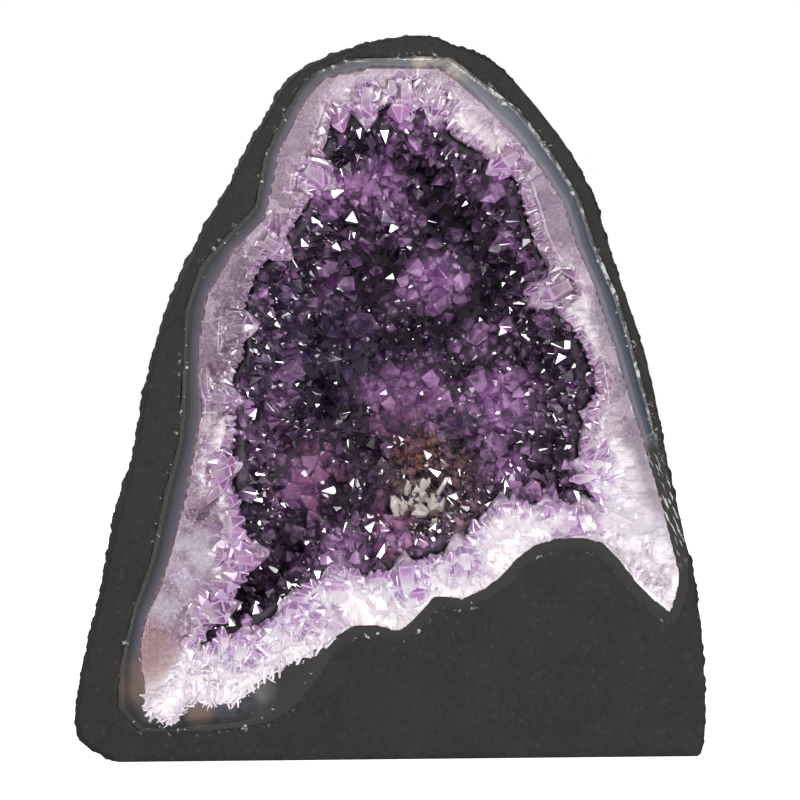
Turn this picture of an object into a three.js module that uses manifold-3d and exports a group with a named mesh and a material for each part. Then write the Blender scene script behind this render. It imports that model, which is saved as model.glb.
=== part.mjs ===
// Amethyst geode, cut open and stood upright on a sawn foot. Millimetres, +Z up.
// The sawn and polished face looks along -Y. Behind it four nested bowls of stone and cement
// close round the hollow: painted cement, banded agate, pale quartz, and the dark crystal druse.
// Larger crystals and a tuft of calcite stand in sockets of their own.

import * as THREE from "three";
import { mergeVertices } from "three/addons/utils/BufferGeometryUtils.js";
import Module from "manifold-3d";

const wasm = await Module();
wasm.setup();

// Driving dimensions: how far back from the sawn face each bowl reaches, and how round it is.
const SHELL_DEPTH = 165;
const AGATE_DEPTH = 157;
const QUARTZ_DEPTH = 150;
const CAVITY_DEPTH = 112;
const SHELL_POWER = 2.6;
const BOWL_POWER = 2.3;
const STONE_CENTRE = [0, 200];
const CAVITY_CENTRE = [2, 160];

// The flank of the cement: its size at the face, a little behind it, and where it is widest.
const FACE_SCALE = 0.985;
const FLANK_AT = 8;
const FLANK_SCALE = 0.9985;
const WIDEST_AT = 24;

// The druse lines the hollow from its lip inwards.
const DRUSE_THICKNESS = 8;
const DRUSE_SCALE = 0.93;
const DRUSE_LIP_AT = 7;
const SWELL_FADE = 4;

// Crystals: heights and shifts are shares of the radius, leans are parts of a direction.
const SIDES = 6;
const TIP_HEIGHT = 1.15;
const TIP_SHIFT = 0.14;
const ROOT_TAPER = 0.82;
const NARROW_CORNER = 0.9;
const SOCKET_TIP = 1.5;
const FLOOR_ROOT = 3.2;
const FLOOR_LEAN = 0.5;
const FLOOR_FORWARD = 0.6;
const FLOOR_TWIST = 0.7;
const RIM_ROOT = 2;
const RIM_SET_BACK = 0.55;
const RIM_BACKWARD = 0.16;
const RIM_TWIST = 0.5;

// Working values.
const GAP = 0.3;
const OVERCUT = 6;
const RINGS = 6;
const HALF_SPACE = 600;
const MITRE_LIMIT = 0.4;
const MERGE_DISTANCE = 1e-4;

// Outlines in the plane of the sawn face, as [x, z] points running clockwise from the lower left.
const SHELL_OUTLINE = [
  [-117, 0], [-126, 4], [-131, 11], [-131.8, 20], [-129, 36], [-122, 66], [-114.7, 100],
  [-108, 125], [-103, 152], [-95.2, 182], [-81, 213.5], [-64.5, 245], [-50.5, 270], [-40.5, 284],
  [-18, 294.5], [0, 298.8], [15, 300], [25, 296], [38, 291], [50, 282], [71, 256.5], [83, 235],
  [94, 202], [103, 176], [110, 150], [115.3, 122.7], [121, 98], [127.5, 69], [130.8, 40],
  [131.6, 16], [130.8, 3], [126, -10], [106, -38], [60, -58], [0, -64], [-60, -56], [-100, -26],
];
const AGATE_OUTLINE = [
  [-113, 22], [-112.5, 38], [-106.7, 63], [-99.5, 83], [-94, 110], [-88, 132], [-86.5, 155],
  [-85.5, 185], [-79, 204], [-66, 218.5], [-56.5, 228], [-53, 248], [-44.5, 266], [-38, 277],
  [-31.5, 283.5], [-19, 288.5], [10, 289.8], [23, 289.3], [35, 280.5], [51, 268.5], [64, 251.5],
  [76, 233], [82.5, 213], [92.5, 191], [99, 168.5], [105, 147], [110.5, 122.5], [115.5, 103],
  [119.5, 87], [121.5, 76], [120, 65], [116.5, 56.5], [108, 61], [98, 71.5], [91, 80.5],
  [85.5, 86.2], [77, 88.8], [68, 88.3], [60, 85.8], [53, 80.5], [46.5, 73], [39, 67.5], [29, 63],
  [18, 65], [10, 54.5], [2.5, 49.8], [-7, 52.8], [-16, 52.6], [-26, 45.5], [-33, 35], [-40, 26],
  [-48, 17.5], [-62, 14.5], [-78, 13], [-104, 13],
];
const QUARTZ_OUTLINE = [
  [-101, 20], [-103.5, 34], [-105, 47], [-102, 60], [-96, 73], [-91, 90], [-84.5, 115],
  [-79.5, 143], [-80.5, 172], [-77, 192], [-66, 210.5], [-54, 222.5], [-50.5, 236], [-47.5, 251],
  [-39.5, 267.5], [-34, 276], [-28, 281.3], [-10, 285.5], [19, 285.5], [27, 280], [39, 268.5],
  [50, 258], [62, 243.5], [70.5, 230], [76, 213], [83.5, 196], [91, 173.5], [98.5, 149], [106, 125],
  [112, 105], [116.8, 86], [119.3, 76], [118, 67], [115.5, 59.5], [109, 64.5], [100, 73.5],
  [93, 82.5], [86.7, 89], [78, 91.2], [68, 90.8], [58.5, 88], [51, 82.5], [44.5, 75.2], [37.5, 70],
  [29, 66], [17, 67.3], [8, 57], [2, 52.6], [-7, 55.2], [-17, 55], [-27.5, 48.3], [-37, 43],
  [-49, 37], [-57, 31.5], [-66, 24.5], [-84, 25], [-92, 16.5],
];
const CAVITY_OUTLINE = [
  [-82.5, 46], [-78, 52.5], [-72, 61.5], [-68, 67], [-64, 73], [-59.5, 82], [-61, 93], [-66, 110],
  [-69.5, 120], [-67, 129], [-66, 140], [-68, 157], [-62.5, 167], [-62, 188], [-57.5, 201],
  [-50, 211], [-42, 221], [-30, 239.5], [-29.5, 252], [-24, 270], [-11, 266.5], [-1, 272],
  [8, 268.5], [14, 273], [20, 268], [24.6, 259], [43, 247.5], [52, 240], [59, 215], [65, 204.5],
  [64.5, 193.5], [70, 184.5], [77, 176], [83, 163], [85, 152], [79.5, 138], [78, 128], [80.5, 113],
  [85.5, 108], [84, 101.5], [73, 104.5], [45, 105.5], [37, 101], [30.5, 90.5], [21, 84], [8, 81],
  [0, 76], [-12, 75], [-23, 80], [-34, 72.5], [-50, 58], [-60, 52], [-73, 49.5],
];

// Swellings of the druse floor: [x, z, height towards the face, spread].
const DRUSE_SWELLINGS = [
  [-15, 243, 20, 20],
  [22, 197, 24, 24],
  [22, 150, 16, 26],
  [-30, 112, 14, 26],
  [58, 128, 12, 18],
];

// Larger crystals on the druse floor: [x, z, radius, length, lean in x, lean in z].
const FLOOR_CRYSTALS = [
  [-11, 181, 7, 20, 0.2, 0.1],
  [-15, 243, 6, 15, 0.2, 0.3],
  [-18, 199, 5, 14, -0.2, 0.2],
  [26, 192, 6.5, 17, 0.1, 0.2],
  [46, 153, 7, 18, -0.3, 0.1],
  [-38, 196, 5.5, 14, 0.3, 0.2],
  [-45, 160, 6, 16, 0.3, 0],
  [-44, 132, 5.5, 15, 0.3, 0.1],
  [-20, 148, 5.5, 14, -0.1, 0.3],
  [4, 217, 5.5, 14, -0.2, 0.2],
  [33, 222, 6, 16, -0.2, -0.2],
  [4, 161, 5, 13, 0.2, -0.2],
  [28, 147, 5.5, 14, -0.1, 0.3],
  [62, 158, 5.5, 15, -0.3, 0],
  [-44, 108, 5, 14, 0.2, 0.2],
  [-16, 113, 6, 14, 0.1, 0.3],
  [3, 124, 5, 12, 0, 0.2],
  [52, 126, 6, 14, -0.2, 0.3],
  [-5, 99, 6, 15, 0.1, 0.4],
  [-38, 84, 6, 15, 0.2, 0.4],
  [16, 245, 5, 13, -0.1, -0.2],
  [44, 178, 5, 13, -0.2, 0.1],
];

// Rim crystals in the plane of the face: [x, z, radius, length, direction of the tip in degrees].
// 0 degrees points to +X and 90 degrees to +Z.
const RIM_CRYSTALS = [
  [-11, 276, 5.5, 16, 268],
  [5, 279, 5, 16, 275],
  [19, 273, 4.5, 12, 250],
  [-35, 243, 6, 14, 330],
  [-52, 214, 5.5, 13, 325],
  [-66, 179, 5.5, 12, 5],
  [-74, 150, 5.5, 13, 350],
  [-74, 119, 6, 13, 15],
  [-68, 84, 7, 17, 5],
  [-77, 62, 6.5, 14, 10],
  [-64, 43, 6, 14, 75],
  [-42, 56, 7, 16, 80],
  [-22, 67, 7.5, 18, 92],
  [6, 70, 6.5, 16, 98],
  [30, 80, 7, 15, 110],
  [47, 95, 6.5, 16, 100],
  [63, 94, 6, 16, 85],
  [80, 96, 6, 14, 95],
  [86, 121, 6, 13, 170],
  [90, 141, 5.5, 13, 165],
  [72, 196, 6.5, 18, 205],
  [50, 250, 5.5, 14, 215],
];

const CALCITE_BLADES = [
  [11, 98, 3.6, 12, -0.5, 0.5],
  [15, 104, 3, 11, 0.1, 0.9],
  [21, 99, 3.4, 12, 0.6, 0.4],
];

const COLOURS = {
  cement: { color: 0x3a3836, roughness: 0.85 },
  agate: { color: 0x4b5260, roughness: 0.25 },
  quartz: { color: 0xd9cbe2, roughness: 0.3 },
  druse: { color: 0x3a2450, roughness: 0.3 },
  floorCrystal: { color: 0x6b3f93, roughness: 0.12 },
  rimCrystal: { color: 0xb28fd0, roughness: 0.15 },
  calcite: { color: 0xd8c9a8, roughness: 0.45 },
};

function toVectors(outline) {
  return outline.map(([x, z]) => new THREE.Vector2(x, z));
}

// Moves a clockwise outline outwards, each corner along the bisector of its two edges.
function offsetOutline(outline, distance) {
  const count = outline.length;
  return outline.map((point, i) => {
    const arriving = point.clone().sub(outline[(i + count - 1) % count]).normalize();
    const leaving = outline[(i + 1) % count].clone().sub(point).normalize();
    const bisector = arriving.clone().add(leaving).normalize();
    const stretch = distance / Math.max(MITRE_LIMIT, bisector.dot(arriving));
    return new THREE.Vector2(point.x - bisector.y * stretch, point.y + bisector.x * stretch);
  });
}

// Scale and depth of the rings: a widest ring, then a superellipse that closes to a point behind.
function ringProfile(widestAt, depth, power) {
  const rings = [];
  for (let i = 0; i < RINGS; i += 1) {
    const angle = (i / RINGS) * (Math.PI / 2);
    const scale = Math.cos(angle) ** (2 / power);
    const y = widestAt + (depth - widestAt) * Math.sin(angle) ** (2 / power);
    rings.push({ y, scale });
  }
  return rings;
}

// A closed bowl: rings of one outline from front to back, capped in front and closed by an apex.
function bowlGeometry(outline, centre, rings, apexY, swell = () => 0) {
  const count = outline.length;
  const positions = [];
  const indices = [];
  for (const ring of rings) {
    for (const point of outline) {
      const x = centre[0] + (point.x - centre[0]) * ring.scale;
      const z = centre[1] + (point.y - centre[1]) * ring.scale;
      positions.push(x, ring.y - swell(x, z, ring), z);
    }
  }
  positions.push(centre[0], apexY - swell(centre[0], centre[1], { scale: 0 }), centre[1]);
  const apex = rings.length * count;
  for (let r = 0; r + 1 < rings.length; r += 1) {
    for (let i = 0; i < count; i += 1) {
      const next = (i + 1) % count;
      const a = r * count + i;
      const b = r * count + next;
      indices.push(a, b, a + count, b, b + count, a + count);
    }
  }
  for (let i = 0; i < count; i += 1) {
    indices.push(apex - count + i, apex - count + ((i + 1) % count), apex);
  }
  const turn = THREE.ShapeUtils.area(outline);
  for (const [a, b, c] of THREE.ShapeUtils.triangulateShape(outline, [])) {
    const sameWay = THREE.ShapeUtils.area([outline[a], outline[b], outline[c]]) * turn > 0;
    indices.push(...(sameWay ? [c, b, a] : [a, b, c]));
  }
  const geometry = new THREE.BufferGeometry();
  geometry.setAttribute("position", new THREE.Float32BufferAttribute(positions, 3));
  geometry.setIndex(indices);
  return geometry;
}

// A closed mesh as a solid, turned the right way out.
function toSolid(source) {
  const geometry = source.clone();
  geometry.deleteAttribute("normal");
  geometry.deleteAttribute("uv");
  const merged = mergeVertices(geometry, MERGE_DISTANCE);
  const vertProperties = new Float32Array(merged.attributes.position.array);
  const triVerts = new Uint32Array(merged.index.array);
  const solid = new wasm.Manifold(new wasm.Mesh({ numProp: 3, vertProperties, triVerts }));
  if (solid.volume() > 0) return solid;
  for (let i = 0; i < triVerts.length; i += 3) {
    const kept = triVerts[i];
    triVerts[i] = triVerts[i + 1];
    triVerts[i + 1] = kept;
  }
  return new wasm.Manifold(new wasm.Mesh({ numProp: 3, vertProperties, triVerts }));
}

function toGeometry(solid) {
  const mesh = solid.getMesh();
  const geometry = new THREE.BufferGeometry();
  geometry.setAttribute("position", new THREE.Float32BufferAttribute(mesh.vertProperties, 3));
  geometry.setIndex(new THREE.Uint32BufferAttribute(mesh.triVerts, 1));
  geometry.computeVertexNormals();
  return geometry;
}

function boxSolid(x0, x1, y0, y1, z0, z1) {
  const geometry = new THREE.BoxGeometry(x1 - x0, y1 - y0, z1 - z0);
  geometry.translate((x0 + x1) / 2, (y0 + y1) / 2, (z0 + z1) / 2);
  return toSolid(geometry);
}

const aboveFoot = boxSolid(-HALF_SPACE, HALF_SPACE, -HALF_SPACE, HALF_SPACE, 0, HALF_SPACE);
const behindFace = boxSolid(-HALF_SPACE, HALF_SPACE, 0, HALF_SPACE, -HALF_SPACE, HALF_SPACE);

// The cement body: smooth flat face, widest a little behind it, round back, sawn foot.
function shellBody() {
  const curve = new THREE.SplineCurve(toVectors([...SHELL_OUTLINE, SHELL_OUTLINE[0]]));
  const outline = curve.getPoints(2 * SHELL_OUTLINE.length).slice(0, -1);
  const rings = [
    { y: 0, scale: FACE_SCALE },
    { y: FLANK_AT, scale: FLANK_SCALE },
    ...ringProfile(WIDEST_AT, SHELL_DEPTH, SHELL_POWER),
  ];
  return toSolid(bowlGeometry(outline, STONE_CENTRE, rings, SHELL_DEPTH));
}

// A bowl of stone behind an outline in the face, grown all round by a distance.
function stoneBody(points, centre, depth, grow) {
  const outline = offsetOutline(toVectors(points), grow);
  const rings = [{ y: -OVERCUT, scale: 1 }, ...ringProfile(0, depth + grow, BOWL_POWER)];
  return toSolid(bowlGeometry(outline, centre, rings, depth + grow));
}

// How far the druse floor rises at a place, fading out towards the lip.
function swellOf(x, z, ring) {
  const fade = Math.min(1, (1 - ring.scale) * SWELL_FADE);
  let height = 0;
  for (const [sx, sz, rise, spread] of DRUSE_SWELLINGS) {
    const distance = Math.hypot(x - sx, z - sz) / spread;
    height += rise * Math.exp(-distance * distance);
  }
  return height * fade;
}

// The hollow inside the druse follows the cavity's edge, smoother and a little smaller.
function druseHollow() {
  const edge = toVectors(CAVITY_OUTLINE);
  const centre = new THREE.Vector2(...CAVITY_CENTRE);
  const smooth = edge.map((point, i) => {
    const before = edge[(i + edge.length - 1) % edge.length];
    const after = edge[(i + 1) % edge.length];
    return before.clone().add(after).addScaledVector(point, 2).divideScalar(4);
  });
  const inset = smooth.map((point) => point.sub(centre).multiplyScalar(DRUSE_SCALE).add(centre));
  const depth = CAVITY_DEPTH - DRUSE_THICKNESS;
  const rings = [{ y: -OVERCUT, scale: 1 }, ...ringProfile(0, depth, BOWL_POWER)];
  return bowlGeometry(inset, CAVITY_CENTRE, rings, depth, swellOf);
}

// A quartz crystal: six-sided, rooted at the origin, its uneven six-faced tip along +Z.
// A socket is the same crystal grown by the gap.
function crystalGeometry(radius, length, root, grow, twist) {
  const foot = -root - grow;
  const shoulder = length - radius * TIP_HEIGHT;
  const positions = [];
  for (const [height, taper] of [[foot, ROOT_TAPER], [shoulder, 1]]) {
    for (let i = 0; i < SIDES; i += 1) {
      const angle = (i / SIDES) * Math.PI * 2 + twist;
      const reach = (radius + grow) * (i % 2 === 0 ? 1 : NARROW_CORNER) * taper;
      positions.push(Math.cos(angle) * reach, Math.sin(angle) * reach, height);
    }
  }
  const shift = radius * TIP_SHIFT;
  positions.push(0, 0, foot);
  positions.push(Math.cos(twist) * shift, Math.sin(twist) * shift, length + grow * SOCKET_TIP);
  const footMiddle = 2 * SIDES;
  const tip = footMiddle + 1;
  const indices = [];
  for (let i = 0; i < SIDES; i += 1) {
    const next = (i + 1) % SIDES;
    indices.push(i, next, i + SIDES, next, next + SIDES, i + SIDES);
    indices.push(i + SIDES, next + SIDES, tip);
    indices.push(next, i, footMiddle);
  }
  const geometry = new THREE.BufferGeometry();
  geometry.setAttribute("position", new THREE.Float32BufferAttribute(positions, 3));
  geometry.setIndex(indices);
  return geometry;
}

function standAt(geometry, base, direction) {
  const turn = new THREE.Quaternion().setFromUnitVectors(new THREE.Vector3(0, 0, 1), direction);
  geometry.applyQuaternion(turn);
  geometry.translate(base.x, base.y, base.z);
  return geometry;
}

const bothSides = new THREE.MeshStandardMaterial({ side: THREE.DoubleSide });
const druseSurface = new THREE.Mesh(druseHollow(), bothSides);
const probe = new THREE.Raycaster();

// Where a line from the open face at (x, z) meets the druse floor.
function floorAt(x, z) {
  probe.set(new THREE.Vector3(x, 0, z), new THREE.Vector3(0, 1, 0));
  const hit = probe.intersectObject(druseSurface)[0];
  const normal = hit.face.normal.clone();
  if (normal.y > 0) normal.negate();
  return { point: hit.point, normal };
}

// A crystal on the druse floor, leaning towards the open face.
function floorCrystal([x, z, radius, length, leanX, leanZ], index, grow) {
  const { point, normal } = floorAt(x, z);
  const lean = new THREE.Vector3(leanX * FLOOR_LEAN, -FLOOR_FORWARD, leanZ * FLOOR_LEAN);
  const crystal = crystalGeometry(radius, length, FLOOR_ROOT, grow, index * FLOOR_TWIST);
  return toSolid(standAt(crystal, point, normal.add(lean).normalize()));
}

// A crystal in the plane of the face, sawn off flush with it.
function rimCrystal([x, z, radius, length, degrees], index, grow) {
  const angle = THREE.MathUtils.degToRad(degrees);
  const direction = new THREE.Vector3(Math.cos(angle), RIM_BACKWARD, Math.sin(angle)).normalize();
  const base = new THREE.Vector3(x, radius * RIM_SET_BACK, z);
  const crystal = crystalGeometry(radius, length, RIM_ROOT, grow, index * RIM_TWIST);
  const whole = toSolid(standAt(crystal, base, direction));
  return grow > 0 ? whole : whole.intersect(behindFace);
}

const group = new THREE.Group();
const geode = new THREE.Group();
group.add(geode);

function numbered(name, index) {
  return `${name}_${String(index + 1).padStart(2, "0")}`;
}

function addNode(name, solid, look) {
  const mesh = new THREE.Mesh(toGeometry(solid), new THREE.MeshStandardMaterial({ ...look, metalness: 0 }));
  mesh.name = name;
  geode.add(mesh);
}

const floorSockets = [];
FLOOR_CRYSTALS.forEach((entry, i) => {
  addNode(numbered("amethyst_crystal", i), floorCrystal(entry, i, 0), COLOURS.floorCrystal);
  floorSockets.push(floorCrystal(entry, i, GAP));
});
CALCITE_BLADES.forEach((entry, i) => {
  addNode(`calcite_blade_${i + 1}`, floorCrystal(entry, i, 0), COLOURS.calcite);
  floorSockets.push(floorCrystal(entry, i, GAP));
});
const rimSockets = [];
RIM_CRYSTALS.forEach((entry, i) => {
  addNode(numbered("rim_crystal", i), rimCrystal(entry, i, 0), COLOURS.rimCrystal);
  rimSockets.push(rimCrystal(entry, i, GAP));
});

const agateOuter = stoneBody(AGATE_OUTLINE, STONE_CENTRE, AGATE_DEPTH, 0);
const quartzOuter = stoneBody(QUARTZ_OUTLINE, STONE_CENTRE, QUARTZ_DEPTH, 0);
const cavity = stoneBody(CAVITY_OUTLINE, CAVITY_CENTRE, CAVITY_DEPTH, 0);
const druseOuter = stoneBody(CAVITY_OUTLINE, CAVITY_CENTRE, CAVITY_DEPTH, -GAP);
const behindLip = boxSolid(-HALF_SPACE, HALF_SPACE, DRUSE_LIP_AT, HALF_SPACE, -HALF_SPACE, HALF_SPACE);

const agateRoom = stoneBody(AGATE_OUTLINE, STONE_CENTRE, AGATE_DEPTH, GAP);
const quartzRoom = stoneBody(QUARTZ_OUTLINE, STONE_CENTRE, QUARTZ_DEPTH, GAP);

const cement = shellBody().intersect(aboveFoot).subtract(agateRoom);
const agate = agateOuter.intersect(behindFace).subtract(quartzRoom);
let quartz = quartzOuter.intersect(behindFace).subtract(cavity);
let druse = druseOuter.intersect(behindLip).subtract(toSolid(druseHollow()));
for (const socket of rimSockets) {
  quartz = quartz.subtract(socket);
  druse = druse.subtract(socket);
}
for (const socket of floorSockets) druse = druse.subtract(socket);

addNode("cement_shell", cement, COLOURS.cement);
addNode("agate_band", agate, COLOURS.agate);
addNode("quartz_crust", quartz, COLOURS.quartz);
addNode("amethyst_druse", druse, COLOURS.druse);

// The origin is the middle of the foot, under the middle of the whole part.
const box = new THREE.Box3().setFromObject(geode);
geode.position.set(-(box.min.x + box.max.x) / 2, -(box.min.y + box.max.y) / 2, -box.min.z);
group.updateMatrixWorld(true);

export default group;
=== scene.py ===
import math

import bpy
import numpy as np
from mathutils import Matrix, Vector, kdtree, noise


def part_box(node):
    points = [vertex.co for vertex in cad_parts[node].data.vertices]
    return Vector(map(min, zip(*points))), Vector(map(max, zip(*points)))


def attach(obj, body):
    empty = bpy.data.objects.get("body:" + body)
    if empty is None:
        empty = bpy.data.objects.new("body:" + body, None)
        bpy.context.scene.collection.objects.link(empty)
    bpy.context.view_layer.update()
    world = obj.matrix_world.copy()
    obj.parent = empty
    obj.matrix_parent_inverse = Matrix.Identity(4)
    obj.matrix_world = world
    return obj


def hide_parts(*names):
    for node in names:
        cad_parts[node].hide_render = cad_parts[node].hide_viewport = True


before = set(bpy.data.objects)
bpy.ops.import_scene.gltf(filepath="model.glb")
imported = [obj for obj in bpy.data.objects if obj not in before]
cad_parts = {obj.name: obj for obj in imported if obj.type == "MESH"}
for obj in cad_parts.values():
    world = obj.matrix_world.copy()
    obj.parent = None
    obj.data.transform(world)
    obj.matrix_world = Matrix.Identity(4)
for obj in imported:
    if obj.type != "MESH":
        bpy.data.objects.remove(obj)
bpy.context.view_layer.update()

# ---------------------------------------------------------------------------------------------
# The table top, the studio light and the camera.
# A wide pale table and a ring of small soft lights that the crystal faces mirror as glints. The
# surroundings are white to the eye and dim to the stone.

MM = 0.001
LOW_SLOPE = 0.45
face_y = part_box("cement_shell")[0].y
AIM = Vector((2.6 * MM, face_y, 148.8 * MM))
CAMERA_DISTANCE = 1.237
CAMERA_AZIMUTH = math.radians(-4)
CAMERA_HEIGHT_ANGLE = math.radians(1.5)
CAMERA_LENS = 135
LIGHTS_AIM = (0, 0, 0.16)
GLINT_DISTANCE = 1.6
GLINT_TURNS_AND_HEIGHTS = (
    (-62, 0.15), (-38, 0.75), (-20, 0.05), (14, 1.15), (30, 0.25), (52, 0.75), (70, 0.1))

scene = bpy.context.scene
scene.view_settings.view_transform = "Standard"


def look_at(thing, target):
    thing.rotation_euler = (Vector(target) - thing.location).to_track_quat("-Z", "Y").to_euler()


def soft_light(name, place, size, watts):
    bpy.ops.object.light_add(type="AREA", location=place)
    light = bpy.context.object
    light.name = name
    light.data.shape = "SQUARE"
    light.data.size = size
    light.data.energy = watts
    look_at(light, LIGHTS_AIM)
    return light


bpy.ops.object.camera_add()
camera = bpy.context.object
camera.data.lens = CAMERA_LENS
camera.location = AIM + CAMERA_DISTANCE * Vector((
    math.sin(CAMERA_AZIMUTH) * math.cos(CAMERA_HEIGHT_ANGLE),
    -math.cos(CAMERA_AZIMUTH) * math.cos(CAMERA_HEIGHT_ANGLE),
    math.sin(CAMERA_HEIGHT_ANGLE),
))
look_at(camera, AIM)
scene.camera = camera

soft_light("key_light", (-0.9, -1.3, 1.1), 0.5, 5.8)
soft_light("fill_light", (1.3, -1.0, 0.7), 0.45, 3)
soft_light("front_light", (0.2, -1.6, 0.6), 0.3, 6.2)
soft_light("top_light", (0.1, -0.7, 1.5), 0.4, 2)
soft_light("back_light", (-0.9, 1.3, 1.3), 0.8, 16)
for turn, height in GLINT_TURNS_AND_HEIGHTS:
    angle = math.radians(turn)
    place = (GLINT_DISTANCE * math.sin(angle), -GLINT_DISTANCE * math.cos(angle), height)
    spark = soft_light(f"glint_light_{turn}", place, 0.42, 8)
    spark.visible_diffuse = False

world = bpy.data.worlds.new("studio")
scene.world = world
world.use_nodes = True
world_nodes = world.node_tree.nodes
ray = world_nodes.new("ShaderNodeLightPath")


def backdrop(node, colour, strength):
    node.inputs["Color"].default_value = (*colour, 1)
    node.inputs["Strength"].default_value = strength
    return node.outputs["Background"]


def by_ray(kind, others, these):
    """The backdrop `these` for rays of one kind and `others` for the rest."""
    blend = world_nodes.new("ShaderNodeMixShader")
    for socket, source in zip(blend.inputs, (ray.outputs[kind], others, these)):
        world.node_tree.links.new(source, socket)
    return blend.outputs["Shader"]


lighting = backdrop(world_nodes["Background"], (0.95, 0.97, 1), 0.16)
mirrored = backdrop(world_nodes.new("ShaderNodeBackground"), (1, 1, 1), 0.05)
seen = backdrop(world_nodes.new("ShaderNodeBackground"), (1, 1, 1), 1.0)
surroundings = by_ray("Is Camera Ray", by_ray("Is Glossy Ray", lighting, mirrored), seen)
world.node_tree.links.new(surroundings, world_nodes["World Output"].inputs["Surface"])


class Wire:
    """An output socket of a material. Arithmetic on it adds Math nodes."""

    def __init__(self, paint, socket):
        self.paint = paint
        self.socket = socket

    def math(self, operation, *operands):
        sockets = dict(enumerate(operands))
        return self.paint.node("ShaderNodeMath", {"operation": operation}, sockets)

    def __add__(self, other):
        return self.math("ADD", self, other)

    __radd__ = __add__

    def __sub__(self, other):
        return self.math("SUBTRACT", self, other)

    def __rsub__(self, other):
        return self.math("SUBTRACT", other, self)

    def __mul__(self, other):
        return self.math("MULTIPLY", self, other)

    __rmul__ = __mul__

    def __pow__(self, other):
        return self.math("POWER", self, other)

    def capped(self):
        return self.math("MINIMUM", self, 1.0)

    def size(self):
        return self.math("ABSOLUTE", self)


class Paint:
    """A material with a Principled shader. node() adds any other node."""

    def __init__(self, name, **uniform):
        self.material = bpy.data.materials.new(name)
        self.material.use_nodes = True
        self.tree = self.material.node_tree
        self.shader = self.tree.nodes["Principled BSDF"]
        for key, value in uniform.items():
            self.shader.inputs[key.replace("_", " ")].default_value = value
        self.place = self.node("ShaderNodeTexCoord", out="Object")

    def join(self, socket, value):
        if isinstance(value, Wire):
            self.tree.links.new(value.socket, socket)
        else:
            socket.default_value = value

    def node(self, kind, settings=None, sockets=None, out=0):
        made = self.tree.nodes.new(kind)
        for key, value in (settings or {}).items():
            if key == "stops":
                ramp = made.color_ramp
                while len(ramp.elements) < len(value):
                    ramp.elements.new(0.5)
                for stop, (position, colour) in zip(ramp.elements, value):
                    stop.position = position
                    stop.color = (*colour, 1)
            else:
                setattr(made, key, value)
        for key, value in (sockets or {}).items():
            self.join(made.inputs[key], value)
        return Wire(self, made.outputs[out])

    def noise(self, size, detail=3, rough=0.55, place=None, out="Factor"):
        """Cloudy noise whose patches are about `size` across, in metres."""
        sockets = {"Vector": place or self.place, "Scale": 1 / size, "Detail": detail, "Roughness": rough}
        return self.node("ShaderNodeTexNoise", None, sockets, out="Color" if out == "Color" else 0)

    def step(self, value, low, high, start=0.0, end=1.0):
        """start below low, end above high, and a smooth change between."""
        settings = {"interpolation_type": "SMOOTHSTEP"}
        names = ("Value", "From Min", "From Max", "To Min", "To Max")
        return self.node("ShaderNodeMapRange", settings, dict(zip(names, (value, low, high, start, end))))

    def ramp(self, value, stops):
        return self.node("ShaderNodeValToRGB", {"stops": stops}, {"Fac": value}, out="Color")

    def mix(self, mask, under, over):
        """The colour under, with the colour over on top where the mask is 1."""
        settings = {"data_type": "RGBA"}
        sockets = {0: mask, 6: self.colour(under), 7: self.colour(over)}
        return self.node("ShaderNodeMix", settings, sockets, out=2)

    def layers(self, under, *laid):
        """The colour under, with each (mask, colour) laid over it in turn."""
        for mask, over in laid:
            under = self.mix(mask, under, over)
        return under

    def colour(self, value):
        return value if isinstance(value, Wire) else (*value, 1)

    def near(self, x, z, radius):
        """1 at a place seen from the front, in millimetres, falling to 0 at the radius."""
        flat = self.node("ShaderNodeVectorMath", {"operation": "MULTIPLY"}, {0: self.place, 1: (1, 0, 1)})
        ends = {0: flat, 1: (x * MM, 0, z * MM)}
        apart = self.node("ShaderNodeVectorMath", {"operation": "DISTANCE"}, ends, out="Value")
        return self.step(apart, radius * MM * 0.3, radius * MM, 1.0, 0.0)

    def patches(self, *places):
        """The sum of near() patches, each given as x, z, radius and share."""
        return sum(self.near(x, z, radius) * share for x, z, radius, share in places)

    def axis(self, name):
        """How far along X, Y or Z the place is, in metres."""
        return self.node("ShaderNodeSeparateXYZ", None, {"Vector": self.place}, out=name)

    def cells(self, place, feature, out):
        """A flat pattern of packed cells, 1 apart in the place's X and Y."""
        settings = {"voronoi_dimensions": "2D", "feature": feature}
        sockets = {"Vector": place, "Scale": 1, "Randomness": 0.85}
        return self.node("ShaderNodeTexVoronoi", settings, sockets, out=out)

    def vector(self, **parts):
        return self.node("ShaderNodeCombineXYZ", None, parts)

    def above_low_line(self):
        """How far the place stands above the slanting line of the lower right, in metres."""
        return self.axis("Z") - self.axis("X") * LOW_SLOPE

    def attribute(self, name):
        return self.node("ShaderNodeAttribute", {"attribute_name": name}, out="Fac")

    def bump(self, height, strength, distance):
        sockets = {"Height": height, "Strength": strength, "Distance": distance}
        return self.node("ShaderNodeBump", None, sockets)

    def finish(self, **varying):
        for key, value in varying.items():
            self.join(self.shader.inputs[key.replace("_", " ")], value)
        return self.material


def only(piece):
    """Makes a piece the one selected and active object."""
    bpy.ops.object.select_all(action="DESELECT")
    piece.select_set(True)
    bpy.context.view_layer.objects.active = piece


def clad(piece, material):
    piece.data.materials.clear()
    piece.data.materials.append(material)


only(camera)
bpy.ops.mesh.primitive_circle_add(vertices=96, radius=5, fill_type="NGON")
table_top = bpy.context.object
table_top.name = "table_top"
table_top.visible_glossy = False
paint = Paint("pale_table", Roughness=0.9, Emission_Strength=1.05)
table_colour = paint.mix(paint.noise(0.3, 4), (0.86, 0.86, 0.86), (0.9, 0.9, 0.9))
clad(table_top, paint.finish(Base_Color=table_colour, Emission_Color=table_colour))

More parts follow.
